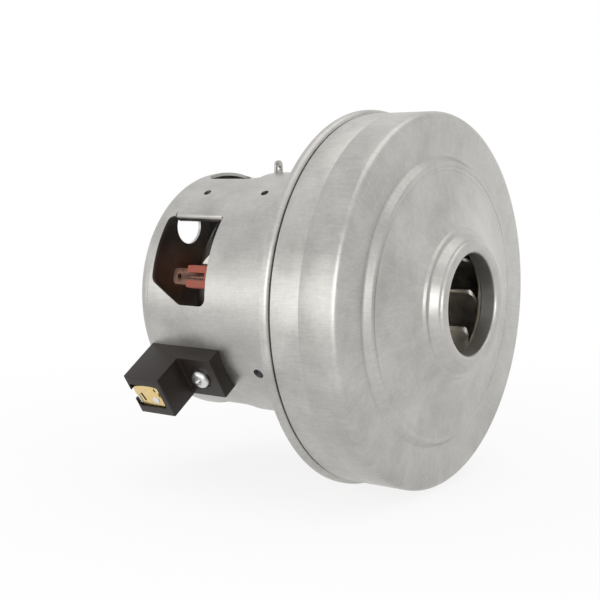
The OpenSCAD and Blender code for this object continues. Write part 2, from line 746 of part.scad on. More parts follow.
// A saddle coil: an arc round the pole, with a window in it that the pole fills
module field_coil() {
    depth = coil_out - coil_in;
    front = stack_front - coil_over_front;
    rear = stack_rear + coil_over_rear;
    inner_half = coil_half - coil_side;
    difference() {
        rotate([0, 0, -coil_half]) rotate_extrude(angle = 2 * coil_half) translate([coil_in, 0])
            polygon(rounded([[0, stack_front, 0], [0, front, coil_front_corner], [depth, front, coil_front_corner],
                [depth, rear, coil_corner], [0, rear, coil_corner], [0, stack_front, 0]], 5));
        rotate([0, 0, -inner_half]) rotate_extrude(angle = 2 * inner_half)
            translate([coil_in - cut, stack_front - liner_over])
                square([depth + 2 * cut, stack_l + 2 * liner_over]);
    }
}
module field_coil_upper() { color("saddlebrown") on_shaft() at(pole_angle) field_coil(); }
module field_coil_lower() { color("saddlebrown") on_shaft() at(pole_angle + 180) field_coil(); }
// Folded insulation between a coil's sides and the stack
module slot_liner() {
    up(stack_front - liner_over) linear_extrude(height = stack_l + 2 * liner_over) difference() {
        coil_slot(liner_t);
        coil_slot(fit);
    }
}
module slot_liner_upper() { color("white") on_shaft() at(pole_angle) slot_liner(); }
module slot_liner_lower() { color("white") on_shaft() at(pole_angle + 180) slot_liner(); }

// Moulded guards that stand on the stack, at both sides of each coil's rear end
module coil_guards() {
    color("whitesmoke") on_shaft() for (a = [0, 180], start = [-guard_half, guard_half - guard_span])
        at(pole_angle + a) rotate([0, 0, start]) rotate_extrude(angle = guard_span)
            translate([coil_out + guard_gap, stack_rear]) square([guard_t, guard_h]);
}

// Terminals at the rear end of each field coil
module terminal_blocks() {
    color("indianred") on_shaft() for (a = [0, 180]) at(block_angle + a) difference() {
        radial_block(coil_out + 2 * fit, block_r, block_w, stack_rear, block_rear);
        radial_block(block_r - groove_h, block_r + cut, groove_w, spade_front + groove_w, block_rear + cut);
        radial_block(spade_r, spade_r + spade_t, spade_w, spade_front, block_rear + cut);
    }
}
module terminal_tabs() {
    color("silver") on_shaft() for (a = [0, 180]) at(block_angle + a) difference() {
        union() {
            radial_block(spade_r, spade_r + spade_t, spade_w, spade_front, spade_rear - spade_nose);
            radial_block(spade_r, spade_r + spade_t, spade_w - 2 * spade_nose, spade_front, spade_rear);
        }
        radial_pin(spade_r - cut, spade_r + spade_t + cut, spade_hole_r, spade_rear - spade_hole_at);
    }
}

// Brush gear
module brush_holder() {
    box_front = holder_rear - holder_box_l;
    stem0 = brush_at - stem_l / 2;
    difference() {
        union() {
            intersection() {
                radial_block(can_in, holder_plate_r, holder_w, holder_front, holder_rear);
                difference() {
                    up(holder_front) cylinder(r = 2 * can_r, h = holder_rear);
                    up(holder_front - cut) cylinder(r = can_r + 0.02, h = holder_rear);
                }
            }
            radial_block(holder_plate_r - counterbore_h, holder_box_r, holder_w, box_front, holder_rear);
            radial_block(stem_start, holder_plate_r, stem_w, stem0, stem0 + stem_l);
        }
        radial_block(0, holder_box_r + cut, tube_w + 2 * fit, brush_at - tube_l / 2 - fit,
            brush_at + tube_l / 2 + fit);
        radial_block(tube_end - notch_h, holder_box_r + cut, notch_w, brush_at, holder_rear + cut);
        radial_pin(can_in, holder_plate_r + cut, holder_screw_r, holder_screw_at);
        radial_pin(head_seat_r, holder_plate_r + cut, counterbore_d / 2, holder_screw_at);
    }
}
module brush_holder_near() { color([0.2, 0.18, 0.17]) on_shaft() at(brush_angle) brush_holder(); }
module brush_holder_far() { color([0.2, 0.18, 0.17]) on_shaft() at(brush_angle + 180) brush_holder(); }
module brush_tube() {
    inner_w = tube_w - 2 * tube_t;
    inner_l = tube_l - 2 * tube_t;
    difference() {
        radial_block(tube_start, tube_end, tube_w, brush_at - tube_l / 2, brush_at + tube_l / 2);
        radial_block(tube_start - cut, tube_end - tube_t, inner_w, brush_at - inner_l / 2, brush_at + inner_l / 2);
        radial_block(tube_end - 2, tube_end + cut, slot_l, brush_at + slot_w, brush_at + 2 * slot_w);
    }
}
module brush_tube_near() { color("goldenrod") on_shaft() at(brush_angle) brush_tube(); }
module brush_tube_far() { color("goldenrod") on_shaft() at(brush_angle + 180) brush_tube(); }
module carbon_brush() {
    difference() {
        radial_block(commutator_r - cut, commutator_r + contact + brush_h, brush_w, brush_at - brush_l / 2,
            brush_at + brush_l / 2);
        up(brush_at - brush_l) cylinder(r = commutator_r + contact, h = 2 * brush_l);
    }
}
module carbon_brush_near() { color([0.15, 0.15, 0.16]) on_shaft() at(brush_angle) carbon_brush(); }
module carbon_brush_far() { color([0.15, 0.15, 0.16]) on_shaft() at(brush_angle + 180) carbon_brush(); }
// One unbroken wire: a helix of eight steps a turn
module brush_spring() {
    r0 = commutator_r + contact + brush_h + spring_play;
    r1 = tube_end - tube_t - spring_play;
    pitch = (r1 - r0 - 2 * wire_r) / spring_turns;
    echo(spring_gap = pitch - 2 * wire_r);
    wire([for (i = [0:spring_turns * 8]) let (a = i * 45)
        [r0 + wire_r + pitch * i / 8, spring_r * cos(a), brush_at + spring_r * sin(a)]], wire_r);
}
// A six-sided tube through a list of points
module wire(points, radius) {
    n = len(points);
    sides = 6;
    rings = [for (i = [0:n - 1])
        let (d = unit(points[min(i + 1, n - 1)] - points[max(i - 1, 0)]), u = unit(cross(d, [1, 0, 0.01])),
            v = cross(d, u))
        each [for (k = [0:sides - 1]) points[i] + radius * (u * cos(k * 60) + v * sin(k * 60))]];
    skin = [for (i = [0:n - 2], k = [0:sides - 1]) each let (a = i * sides + k,
        b = i * sides + (k + 1) % sides) [[a, b + sides, b], [a, a + sides, b + sides]]];
    ends = [[for (k = [0:sides - 1]) k], [for (k = [sides - 1:-1:0]) (n - 1) * sides + k]];
    polyhedron(points = rings, faces = concat(skin, ends));
}
module brush_spring_near() { color("silver") on_shaft() at(brush_angle) brush_spring(); }
module brush_spring_far() { color("silver") on_shaft() at(brush_angle + 180) brush_spring(); }
// Leads from the end of each field coil to the side of the brush tube
module brush_leads() {
    coil_end = [coil_in + 6.2, 8.8, stack_rear + coil_over_rear];
    tube_side = [tube_start + 2.7, tube_w / 2, brush_at - 2];
    route = [coil_end, coil_end + [0, 0, 1.6], coil_end + [-0.4, 0.2, 3], coil_end + [-1.6, 0.4, 4.2],
        coil_end + [-3.4, 0.5, 5], coil_end + [-5.6, 0.4, 5.5], tube_side + [3.2, 4.2, -0.3],
        tube_side + [1.4, 3.6, 0], tube_side + [0.3, 2.6, 0], tube_side + [0, 1.4, 0], tube_side];
    color("firebrick") on_shaft() for (a = [0, 180]) at(brush_angle + a) wire(route, lead_r);
}
// Steel clips that take the lead at the outer end of each tube
module brush_clips() {
    color("gainsboro") on_shaft() for (a = [0, 180]) at(brush_angle + a)
        radial_block(tube_end - 3 * clip_t, tube_end - 2 * clip_t, clip_w, brush_at + tube_l / 2,
            holder_rear - 4 * fit);
}
module brush_holder_screws() {
    color("gainsboro") on_shaft() for (a = [0, 180]) at(brush_angle + a)
        translate([0, 0, holder_screw_at]) rotate([0, 90, 0]) {
            up(can_in - can_wall) cylinder(r = holder_screw_r - fit, h = head_seat_r - can_in + 2 * can_wall);
            up(head_seat_r) pan_head(holder_head_d, holder_head_h);
        }
}

fan_cover();
motor_frame();
front_bracket();
bracket_screws();
diffuser();
impeller_shroud();
impeller_blades();
impeller_back_plate();
impeller_spacer();
impeller_washer();
impeller_nut();
shaft();
armature_core();
armature_insulators();
armature_winding();
commutator_hub();
commutator_segments();
front_bearing_outer();
front_bearing_inner();
front_bearing_balls();
front_bearing_cage();
front_bearing_shields();
rear_bearing_outer();
rear_bearing_inner();
rear_bearing_balls();
rear_bearing_cage();
rear_bearing_shields();
wave_washer();
stator_core();
field_coil_upper();
field_coil_lower();
slot_liner_upper();
slot_liner_lower();
coil_guards();
terminal_blocks();
terminal_tabs();
brush_holder_near();
brush_holder_far();
brush_tube_near();
brush_tube_far();
carbon_brush_near();
carbon_brush_far();
brush_spring_near();
brush_spring_far();
brush_leads();
brush_clips();
brush_holder_screws();
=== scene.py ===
import bmesh
import bpy
import math
from mathutils import Matrix, Vector


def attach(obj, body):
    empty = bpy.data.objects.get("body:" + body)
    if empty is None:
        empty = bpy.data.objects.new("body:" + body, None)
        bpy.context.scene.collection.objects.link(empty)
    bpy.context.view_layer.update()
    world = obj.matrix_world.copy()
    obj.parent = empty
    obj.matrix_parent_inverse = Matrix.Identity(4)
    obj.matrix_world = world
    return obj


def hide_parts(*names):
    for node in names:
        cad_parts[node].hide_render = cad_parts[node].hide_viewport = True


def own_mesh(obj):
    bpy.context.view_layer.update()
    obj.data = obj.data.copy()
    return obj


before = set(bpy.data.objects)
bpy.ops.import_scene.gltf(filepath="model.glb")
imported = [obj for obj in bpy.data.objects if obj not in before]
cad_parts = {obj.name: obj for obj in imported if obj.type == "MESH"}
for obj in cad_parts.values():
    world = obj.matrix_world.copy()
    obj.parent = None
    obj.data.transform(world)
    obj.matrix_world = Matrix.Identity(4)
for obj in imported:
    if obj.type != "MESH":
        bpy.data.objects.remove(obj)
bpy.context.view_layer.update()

# Sizes in millimetres, as in the CAD model. The shaft lies along Y, the air inlet faces -Y.
MM = 0.001
BRUSH_LINE = -33.5            # direction of the near brush, from -X towards +Z
POLE_LINE = BRUSH_LINE + 90
TERMINAL_LINE = POLE_LINE - 45.5
BOTH_SIDES = (0, 180)         # turns of a near piece and of its twin opposite
DRUM_R = 67.5
DRUM_FRONT = -26
COVER_WALL = 1
FLANGE_R = 68.85
CAN_R = 46.5
CAN_IN = 45.3
CAN_WALL = CAN_R - CAN_IN
CAN_REAR = 79.1
INLET_R = 18
HOLDER_SCREW_AT = 49.2
HOLDER_SCREW_HOLE_R = 1.7
COARSE_STEPS = 240            # facets round a large spun piece
MIDDLE_STEPS = 180            # facets round a smaller one
SMALL_STEPS = 48              # facets round a screw head


# Placing and making helpers. A piece is drawn with x outwards, y round and z along the shaft.
def at(angle):
    a = math.radians(angle)
    turn = Matrix(((-math.cos(a), math.sin(a), 0), (0, 0, 1), (math.sin(a), math.cos(a), 0)))
    return turn.to_4x4()


def draw(bm, path, closed=False):
    """Draws a line in the xz plane through (x, z, corner radius) points and rounds its corners."""
    points = [Vector((p[0], 0, p[1])) for p in path]
    verts = [bm.verts.new(p) for p in points]
    n = len(verts)
    pairs = [(i, i + 1) for i in range(n - 1)] + ([(n - 1, 0)] if closed else [])
    for a, b in pairs:
        bm.edges.new((verts[a], verts[b]))
    for i, (vert, place) in enumerate(zip(verts, path)):
        radius = place[2] if len(place) > 2 else 0
        if radius == 0:
            continue
        before = (points[i - 1] - points[i]).normalized()
        after = (points[(i + 1) % n] - points[i]).normalized()
        half = before.angle(after) / 2
        bend = math.degrees(math.pi - 2 * half)
        bmesh.ops.bevel(bm, geom=[vert], offset=radius / math.tan(half), segments=max(3, round(bend / 9)),
                        profile=0.5, affect="VERTICES", material=-1)


def tidy(bm):
    """Merges doubled points and turns every face outwards."""
    bmesh.ops.remove_doubles(bm, verts=bm.verts[:], dist=1e-4)
    bmesh.ops.recalc_face_normals(bm, faces=bm.faces[:])


def shift(bm, way, geom=None):
    """Moves a shape, or only the vertices among an operator's results."""
    verts = [v for v in (bm.verts if geom is None else geom) if isinstance(v, bmesh.types.BMVert)]
    bmesh.ops.translate(bm, vec=way, verts=verts)


def spun(path, wall=0, steps=COARSE_STEPS, closed=False):
    """A shell or a solid of revolution about z. A wall above 0 grows inwards."""
    bm = bmesh.new()
    draw(bm, path, closed)
    bmesh.ops.spin(bm, geom=bm.verts[:] + bm.edges[:], cent=(0, 0, 0), axis=(0, 0, 1),
                   angle=math.tau, steps=steps, use_merge=True)
    tidy(bm)
    if wall:
        bmesh.ops.solidify(bm, geom=bm.faces[:], thickness=wall)
        tidy(bm)
    return bm


def block(low, high, round_by=0.0, segments=2):
    """A box between two corners, its edges rounded."""
    bm = bmesh.new()
    low, high = Vector(low), Vector(high)
    bmesh.ops.create_cube(bm, size=1)
    bmesh.ops.scale(bm, vec=high - low, verts=bm.verts[:])
    shift(bm, (low + high) / 2)
    if round_by:
        bmesh.ops.bevel(bm, geom=bm.edges[:], offset=round_by, segments=segments, profile=0.5,
                        affect="EDGES", material=-1)
    return bm


def peg(radius, depth, x, z, steps):
    """A round bar along z, its middle at x and z."""
    bm = bmesh.new()
    bmesh.ops.create_cone(bm, cap_ends=True, segments=steps, radius1=radius, radius2=radius, depth=depth)
    shift(bm, (x, 0, z))
    return bm


def pin(radius, x0, x1, z, steps=32):
    """A round bar along x."""
    bm = bmesh.new()
    bmesh.ops.create_cone(bm, cap_ends=True, segments=steps, radius1=radius, radius2=radius, depth=x1 - x0)
    bmesh.ops.rotate(bm, matrix=Matrix.Rotation(math.pi / 2, 3, "Y"), verts=bm.verts[:])
    shift(bm, ((x0 + x1) / 2, 0, z))
    return bm


def extruded(bm, way):
    """Fills the drawn outline and makes it a solid as long as the way."""
    bmesh.ops.contextual_create(bm, geom=bm.edges[:])
    shift(bm, way, bmesh.ops.extrude_face_region(bm, geom=bm.faces[:])["geom"])


def plate(path, low, high):
    """A flat outline of (x, y, corner radius) points, from low to high along z."""
    bm = bmesh.new()
    draw(bm, path, closed=True)
    bmesh.ops.rotate(bm, matrix=Matrix.Rotation(-math.pi / 2, 3, "X"), verts=bm.verts[:])
    extruded(bm, (0, 0, high - low))
    shift(bm, (0, 0, low))
    tidy(bm)
    return bm


def slab(path, x0, x1):
    """A flat outline of (y, z, corner radius) points, as thick as x0 to x1."""
    bm = plate(path, x0, x1)
    swap = Matrix(((0, 0, 1), (1, 0, 0), (0, 1, 0)))
    bmesh.ops.transform(bm, matrix=swap.to_4x4(), verts=bm.verts[:])
    return bm


def side_cut(path, y0, y1):
    """A flat outline of (x, z, corner radius) points, as thick as y0 to y1."""
    bm = bmesh.new()
    draw(bm, path, closed=True)
    extruded(bm, (0, y1 - y0, 0))
    shift(bm, (0, y0, 0))
    tidy(bm)
    return bm


def outwards(bm, x, z):
    """Lays a shape drawn upright about z on its side, so that its foot is at x and it points outwards."""
    bmesh.ops.rotate(bm, matrix=Matrix.Rotation(math.pi / 2, 3, "Y"), verts=bm.verts[:])
    shift(bm, (x, 0, z))
    return bm


def turned(bm, angle):
    """Turns a shape about z, in the drawing's own axes."""
    bmesh.ops.rotate(bm, matrix=Matrix.Rotation(math.radians(angle), 3, "Z"), verts=bm.verts[:])
    return bm


def joined(*shapes):
    """One bmesh of several shapes, which may run through each other."""
    out = bmesh.new()
    for bm in shapes:
        mesh = bpy.data.meshes.new("part")
        bm.to_mesh(mesh)
        out.from_mesh(mesh)
        bpy.data.meshes.remove(mesh)
        bm.free()
    return out


def twins(make, line):
    """A near piece and its twin opposite, as one bmesh."""
    return joined(*[turned(make(), line + turn) for turn in BOTH_SIDES])


def carved(bm, tool, operation="DIFFERENCE"):
    """The shape with the tool cut away, or welded on."""
    objects = []
    for name, source in (("shape", bm), ("tool", tool)):
        mesh = bpy.data.meshes.new(name)
        source.to_mesh(mesh)
        source.free()
        objects.append(bpy.data.objects.new(name, mesh))
        bpy.context.scene.collection.objects.link(objects[-1])
    shape, cutter = objects
    modifier = shape.modifiers.new("carve", "BOOLEAN")
    modifier.object = cutter
    modifier.operation = operation
    modifier.solver = "EXACT"
    modifier.use_self = True
    bpy.context.view_layer.update()
    done = shape.evaluated_get(bpy.context.evaluated_depsgraph_get()).to_mesh()
    out = bmesh.new()
    out.from_mesh(done)
    for o in objects:
        bpy.data.objects.remove(o)
    return out


def eased(bm, size, angle=35, segments=2, where=None):
    """Bevels the sharp edges, or those that where() picks."""
    edges = [e for e in bm.edges if len(e.link_faces) == 2 and e.calc_face_angle(0) > math.radians(angle)]
    if where:
        edges = [e for e in edges if where(e)]
    bmesh.ops.bevel(bm, geom=edges, offset=size, segments=segments, profile=0.5, affect="EDGES",
                    clamp_overlap=True, material=-1)
    return bm


def piece(name, bm, body, finish, nodes=(), angle=0, sharp=32):
    """Puts a shape at its angle round the shaft, makes it an object and gives it to a body."""
    bmesh.ops.transform(bm, matrix=at(angle), verts=bm.verts[:])
    bmesh.ops.scale(bm, vec=(MM, MM, MM), verts=bm.verts[:])
    mesh = bpy.data.meshes.new(name)
    bm.to_mesh(mesh)
    bm.free()
    mesh.shade_smooth()
    mesh.set_sharp_from_angle(angle=math.radians(sharp))
    mesh.materials.append(finish)
    obj = bpy.data.objects.new(name, mesh)
    bpy.context.scene.collection.objects.link(obj)
    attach(obj, body)
    if nodes:
        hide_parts(*nodes)
    return obj


# Materials
def linear(colour):
    """An sRGB hex colour as the linear colour that the shader wants."""
    parts = [int(colour[i:i + 2], 16) / 255 for i in (1, 3, 5)]
    return tuple(c / 12.92 if c <= 0.04045 else ((c + 0.055) / 1.055) ** 2.4 for c in parts) + (1,)


def add(tree, kind, links=None, **settings):
    """Adds a node. Settings name its properties or its sockets, and links join its inputs."""
    node = tree.nodes.new(kind)
    for key, value in settings.items():
        if hasattr(node, key):
            setattr(node, key, value)
        else:
            node.inputs[key.replace("_", " ")].default_value = value
    for key, source in (links or {}).items():
        tree.links.new(source, node.inputs[key])
    return node


def noise(tree, place, size, **settings):
    """Noise with features of a size in millimetres."""
    node = add(tree, "ShaderNodeTexNoise", {"Vector": place}, Scale=1 / (size * MM), **settings)
    return node.outputs["Fac"]


def spread(tree, value, low, high, to_low=0.0, to_high=1.0, **settings):
    """Carries a value from one span over to another."""
    node = add(tree, "ShaderNodeMapRange", {"Value": value}, From_Min=low, From_Max=high,
               To_Min=to_low, To_Max=to_high, **settings)
    return node.outputs["Result"]


def tone(tree, factor, dark, light):
    """A colour between two."""
    node = add(tree, "ShaderNodeMix", {"Factor": factor}, data_type="RGBA")
    node.inputs[6].default_value = linear(dark)
    node.inputs[7].default_value = linear(light)
    return node.outputs[2]


def weighted(tree, value, weight, rest=None):
    """A value times its weight, with the rest added."""
    links = {0: value}
    if rest:
        links[2] = rest
    node = add(tree, "ShaderNodeMath", links, operation="MULTIPLY_ADD" if rest else "MULTIPLY")
    node.inputs[1].default_value = weight
    return node.outputs["Value"]


def finish(name, colour, roughness, metallic=0.0, ior=None):
    """A material with its shader, ready for a pattern."""
    mat = bpy.data.materials.new(name)
    mat.use_nodes = True
    shader = mat.node_tree.nodes["Principled BSDF"]
    shader.inputs["Base Color"].default_value = linear(colour)
    shader.inputs["Roughness"].default_value = roughness
    shader.inputs["Metallic"].default_value = metallic
    if ior:
        shader.inputs["IOR"].default_value = ior
    return mat, mat.node_tree, shader


def mottled(mat, tree, shader, dark, light, size, rough, grain=0.0, grain_size=0.3):
    """Colour that drifts between two tones, with its roughness, and a fine grain."""
    place = add(tree, "ShaderNodeTexCoord").outputs["Object"]
    drift = noise(tree, place, size, Detail=4.0)
    tree.links.new(tone(tree, drift, dark, light), shader.inputs["Base Color"])
    tree.links.new(spread(tree, drift, 0.3, 0.7, *rough), shader.inputs["Roughness"])
    if grain:
        fine = noise(tree, place, grain_size, Detail=2.0)
        bump = add(tree, "ShaderNodeBump", {"Height": fine}, Strength=grain, Distance=grain_size * MM * 0.3)
        tree.links.new(bump.outputs["Normal"], shader.inputs["Normal"])
    return mat


CLOUD_SIZE = 16
SPECK_SIZE = 1.3
MARK_SIZE = 0.5               # the real draw marks are finer than a pixel
MARK_STRETCH = 0.08


def drawn_sheet(name, dark, light, rough):
    """Zinc-coated sheet, deep drawn: faint marks along the draw, cloudy zinc and fine specks."""
    mat, tree, shader = finish(name, light, rough, 1.0)
    place = add(tree, "ShaderNodeTexCoord").outputs["Object"]
    split = add(tree, "ShaderNodeSeparateXYZ", {"Vector": place})
    # where a point lies round the shaft, and how far along the draw
    across = add(tree, "ShaderNodeCombineXYZ", {"X": split.outputs["X"], "Z": split.outputs["Z"]})
    ray = add(tree, "ShaderNodeVectorMath", {0: across.outputs["Vector"]}, operation="NORMALIZE")
    reach = add(tree, "ShaderNodeVectorMath", {0: across.outputs["Vector"]}, operation="LENGTH")
    run = add(tree, "ShaderNodeMath", {0: reach.outputs["Value"], 1: split.outputs["Y"]}, operation="ADD")
    ring = add(tree, "ShaderNodeVectorMath", {0: ray.outputs["Vector"]}, operation="SCALE", Scale=0.055)
    lift = add(tree, "ShaderNodeCombineXYZ", {"Y": weighted(tree, run.outputs["Value"], 0.9)})
    marks_at = add(tree, "ShaderNodeVectorMath", {0: ring.outputs["Vector"], 1: lift.outputs["Vector"]},
                   operation="ADD")
    longer = add(tree, "ShaderNodeMapping", {"Vector": marks_at.outputs["Vector"]},
                 Scale=(1, MARK_STRETCH, 1))
    marks = noise(tree, longer.outputs["Vector"], MARK_SIZE, Detail=3.0)
    cloud = noise(tree, place, CLOUD_SIZE, Detail=5.0, Roughness=0.62)
    speck = noise(tree, place, SPECK_SIZE, Detail=2.0)
    pattern = weighted(tree, cloud, 0.6, weighted(tree, speck, 0.15, weighted(tree, marks, 0.2)))
    tree.links.new(tone(tree, spread(tree, pattern, 0.35, 0.60), dark, light), shader.inputs["Base Color"])
    tree.links.new(spread(tree, cloud, 0.3, 0.7, rough - 0.06, rough + 0.06), shader.inputs["Roughness"])
    relief = add(tree, "ShaderNodeMath", {0: marks, 1: speck}, operation="ADD")
    bump = add(tree, "ShaderNodeBump", {"Height": relief.outputs["Value"]}, Strength=0.11, Distance=0.03 * MM)
    tree.links.new(bump.outputs["Normal"], shader.inputs["Normal"])
    return mat


# Galvanised drawn steel: a pale, slightly warm grey with a satin sheen and soft reflections
GALVANISED = drawn_sheet("galvanised_drawn_steel", "#A6A4A0", "#BFBDB9", 0.4)
# Zinc-plated machine screws: brighter and smoother than the sheet
ZINC = mottled(*finish("zinc_plated_steel", "#DCDCDA", 0.36, 1.0), "#CECECC", "#EAEAE8", 1.2, (0.28, 0.42))
# Ground and turned steel of the shaft and spacer: clean, cool, semi-bright
TURNED = mottled(*finish("turned_steel", "#A8A8A6", 0.3, 1.0), "#9A9A98", "#B4B4B2", 2.0, (0.22, 0.34))
# Chrome steel of the bearings: bright and ground
BEARING = mottled(*finish("bearing_steel", "#C8C8C8", 0.15, 1.0), "#BEBEBE", "#D2D2D2", 3.0, (0.1, 0.18))
# Rolled aluminium of the impeller: satin, mottled at random; the throat is darker only in its shade
ALUMINIUM = mottled(*finish("rolled_aluminium", "#CFCAC2", 0.4, 1.0), "#BDB7AE", "#DCD6CC", 4.0, (0.34, 0.46))
# Electrical steel sheets of the stacks: blue-grey, dull
LAMINATION = mottled(*finish("stamped_electrical_steel", "#5A5C60", 0.5, 1.0),
                     "#4A4C50", "#66686C", 2.0, (0.4, 0.55))
# Phenolic moulding of the brush holders: black-brown, dense, with a low satin gloss
PHENOLIC = mottled(*finish("phenolic_moulding", "#1D1714", 0.42, 0.0, 1.4),
                   "#181310", "#261E1A", 1.2, (0.36, 0.47), grain=0.25, grain_size=0.25)
# Glass-filled polyester of the terminal blocks: brick red and matt
RED = mottled(*finish("polyester_moulding", "#8C4230", 0.55, 0.0, 1.5),
              "#813A2A", "#974B38", 1.0, (0.5, 0.62), grain=0.2, grain_size=0.2)
# Pressed paper and film of the insulation: off-white, matt
PAPER = mottled(*finish("insulating_paper", "#E6E2DA", 0.7, 0.0, 1.5),
                "#DCD7CD", "#EDEAE3", 2.5, (0.62, 0.74))
# Black nylon of the diffuser: matt
NYLON = mottled(*finish("black_nylon", "#1C1B1B", 0.5, 0.0, 1.53), "#181717", "#232221", 2.0, (0.45, 0.58))
# Natural nylon of the bearing cages
CAGE = mottled(*finish("natural_nylon", "#D8CBA5", 0.45, 0.0, 1.53), "#CFC198", "#E0D4B0", 1.5, (0.4, 0.5))
# Varnished copper wire of the armature: deep amber copper under clear varnish
WIRE = mottled(*finish("varnished_copper_wire", "#8A4A24", 0.3, 0.9), "#6E3818", "#A4602F", 0.9, (0.22, 0.4))
# Field winding, taped and dipped in varnish: dark brown-black with a soft gloss
COIL = mottled(*finish("varnished_field_winding", "#241F1D", 0.36, 0.2),
               "#1B1716", "#2F2926", 1.2, (0.28, 0.44), grain=0.3, grain_size=0.4)
# Turned copper of the commutator bars
COPPER = mottled(*finish("turned_copper", "#B87048", 0.3, 1.0), "#A05C38", "#C98058", 1.2, (0.22, 0.36))
# Moulded hub of the commutator
HUB = mottled(*finish("commutator_moulding", "#4A2018", 0.5, 0.0, 1.55),
              "#3E1A13", "#55281E", 1.0, (0.45, 0.55))
# Tinned brass of the spade tabs: a brown tone, darkened all over as painted shade for the shade they sit in
TINNED = mottled(*finish("tinned_brass", "#5C443C", 0.3, 1.0), "#402D27", "#75594E", 1.6, (0.22, 0.38))
# Pressed brass of the brush tubes: warm yellow
BRASS = mottled(*finish("pressed_brass", "#E2C88A", 0.4, 1.0), "#D3B068", "#F0DDAC", 1.4, (0.26, 0.4))
# Carbon of the brushes: grey-black, dull, faintly metallic
CARBON = mottled(*finish("pressed_carbon", "#26262A", 0.55, 0.2), "#202024", "#303034", 0.8, (0.5, 0.6))
# Glass-silicone sleeve of the leads: brick red, soft sheen
SLEEVE = mottled(*finish("glass_silicone_sleeve", "#8C2A1C", 0.55, 0.0, 1.45),
                 "#7A2318", "#9C3424", 0.6, (0.5, 0.6), grain=0.3, grain_size=0.25)

# Fan cover, one line from the skirt's end over the dome and the collar into the inlet
skirt = [(DRUM_R - 0.12, -0.45), (DRUM_R, -0.57)]
scored_line = [(DRUM_R, -11.5), (DRUM_R - 0.06, -11.62), (DRUM_R - 0.06, -11.76), (DRUM_R, -11.88)]
front_ring = [(DRUM_R, DRUM_FRONT, 2.4), (52.0, DRUM_FRONT, 1.0), (50.0, -28.35, 0.6)]
pressed_lines = [(48.35, -28.42), (48.2, -28.34), (48.05, -28.45),
                 (46.95, -28.54), (46.85, -28.48), (46.75, -28.56)]
dome = [(42, -28.95, 22), (35.5, -30.1, 18), (29.6, -32.3, 10)]
collar = [(26.95, -33.6, 1.2), (26.2, -34.7, 0.5), (24.9, -34.85, 0.8),
          (23.15, -37.8, 0.7), (22.5, -38.2, 0.35)]
inlet = [(22.2, -39.3, 1.3), (INLET_R, -39.3, 1.7), (INLET_R, -32.8)]
cover = spun(skirt + scored_line + front_ring + pressed_lines + dome + collar + inlet, COVER_WALL)
piece("cover_shell", cover, "frame", GALVANISED, ["fan_cover"])

# Motor frame: the spun can with its flange, cut for its windows and vents
STEP_DEPTH = 0.22             # the can's rear end is a little narrower
BOSS_R = 10.75
BOSS_REAR = 85.1
can = spun([
    (FLANGE_R - CAN_WALL, 2.9), (FLANGE_R - CAN_WALL, CAN_WALL, 0.6), (CAN_R, CAN_WALL, 1),
    (CAN_R, 72.7, 0.3), (CAN_R - STEP_DEPTH, 73.3, 0.3), (CAN_R - STEP_DEPTH, CAN_REAR, 5.6),
    (BOSS_R, CAN_REAR, 0.4), (BOSS_R, BOSS_REAR, 1.7), (0, BOSS_REAR)])
can.faces.ensure_lookup_table()
side_face = min(can.faces, key=lambda f: abs(f.calc_center_median().z - 40))
middle = side_face.calc_center_median()
looks_out = side_face.normal.x * middle.x + side_face.normal.y * middle.y > 0
bmesh.ops.solidify(can, geom=can.faces[:], thickness=CAN_WALL if looks_out else -CAN_WALL)
tidy(can)

WINDOW_HALF = 17.8
WINDOW_FRONT = 45
WINDOW_REAR = 71
WINDOW_CORNER = 3
WINDOW_CUT_L = 13.5           # chamfer at a rear corner, along the shaft
WINDOW_CUT_W = 8              # and across the window
WINDOW_OFF_POLE = 36.6
LIP_AT = 15.2                 # plane of the lip's face, across the window
LIP_FRONT = 46.2
LIP_REAR = 68.5
LIP_LENGTH = 4
LIP_BEND = 2.0
LIP_PLAY = 0.05               # slit left at each end of a lip
VENT_R = 6.9
VENT_AT = 30.4
BRACKET_SCREW_AT = 54
BRACKET_HOLE_R = 1.75
TOOL_HOLE_R = 1.5
TOOL_HOLES_AT = (33.5, 60.8)
BRUSH_HOLE_R = 2
BRUSH_HOLE_AT = 26.5
STEM_HALF = 6.15              # half width of the opening for the holder's stem
EARTH_TAB_LINE = 87
EARTH_TAB_HALF = 2.3
EARTH_TAB_OUT = CAN_R + 4.6
windows = [(POLE_LINE + turn + side * WINDOW_OFF_POLE, side) for turn in BOTH_SIDES for side in (-1, 1)]


def window_tool(side):
    """The window's outline, wider by the lip's slits on the side that carries the lip."""
    s = -side
    root = s * WINDOW_HALF
    inner = s * (LIP_AT + 0.9)
    return slab([
        (0, WINDOW_FRONT), (-root, WINDOW_FRONT, WINDOW_CORNER),
        (-root, WINDOW_REAR - WINDOW_CUT_L, WINDOW_CORNER),
        (-s * (WINDOW_HALF - WINDOW_CUT_W), WINDOW_REAR, WINDOW_CORNER), (inner, WINDOW_REAR, 2.2),
        (inner, LIP_REAR + LIP_PLAY), (root, LIP_REAR + LIP_PLAY), (root, LIP_FRONT - LIP_PLAY),
        (inner, LIP_FRONT - LIP_PLAY), (inner, WINDOW_FRONT)], 28, 75)


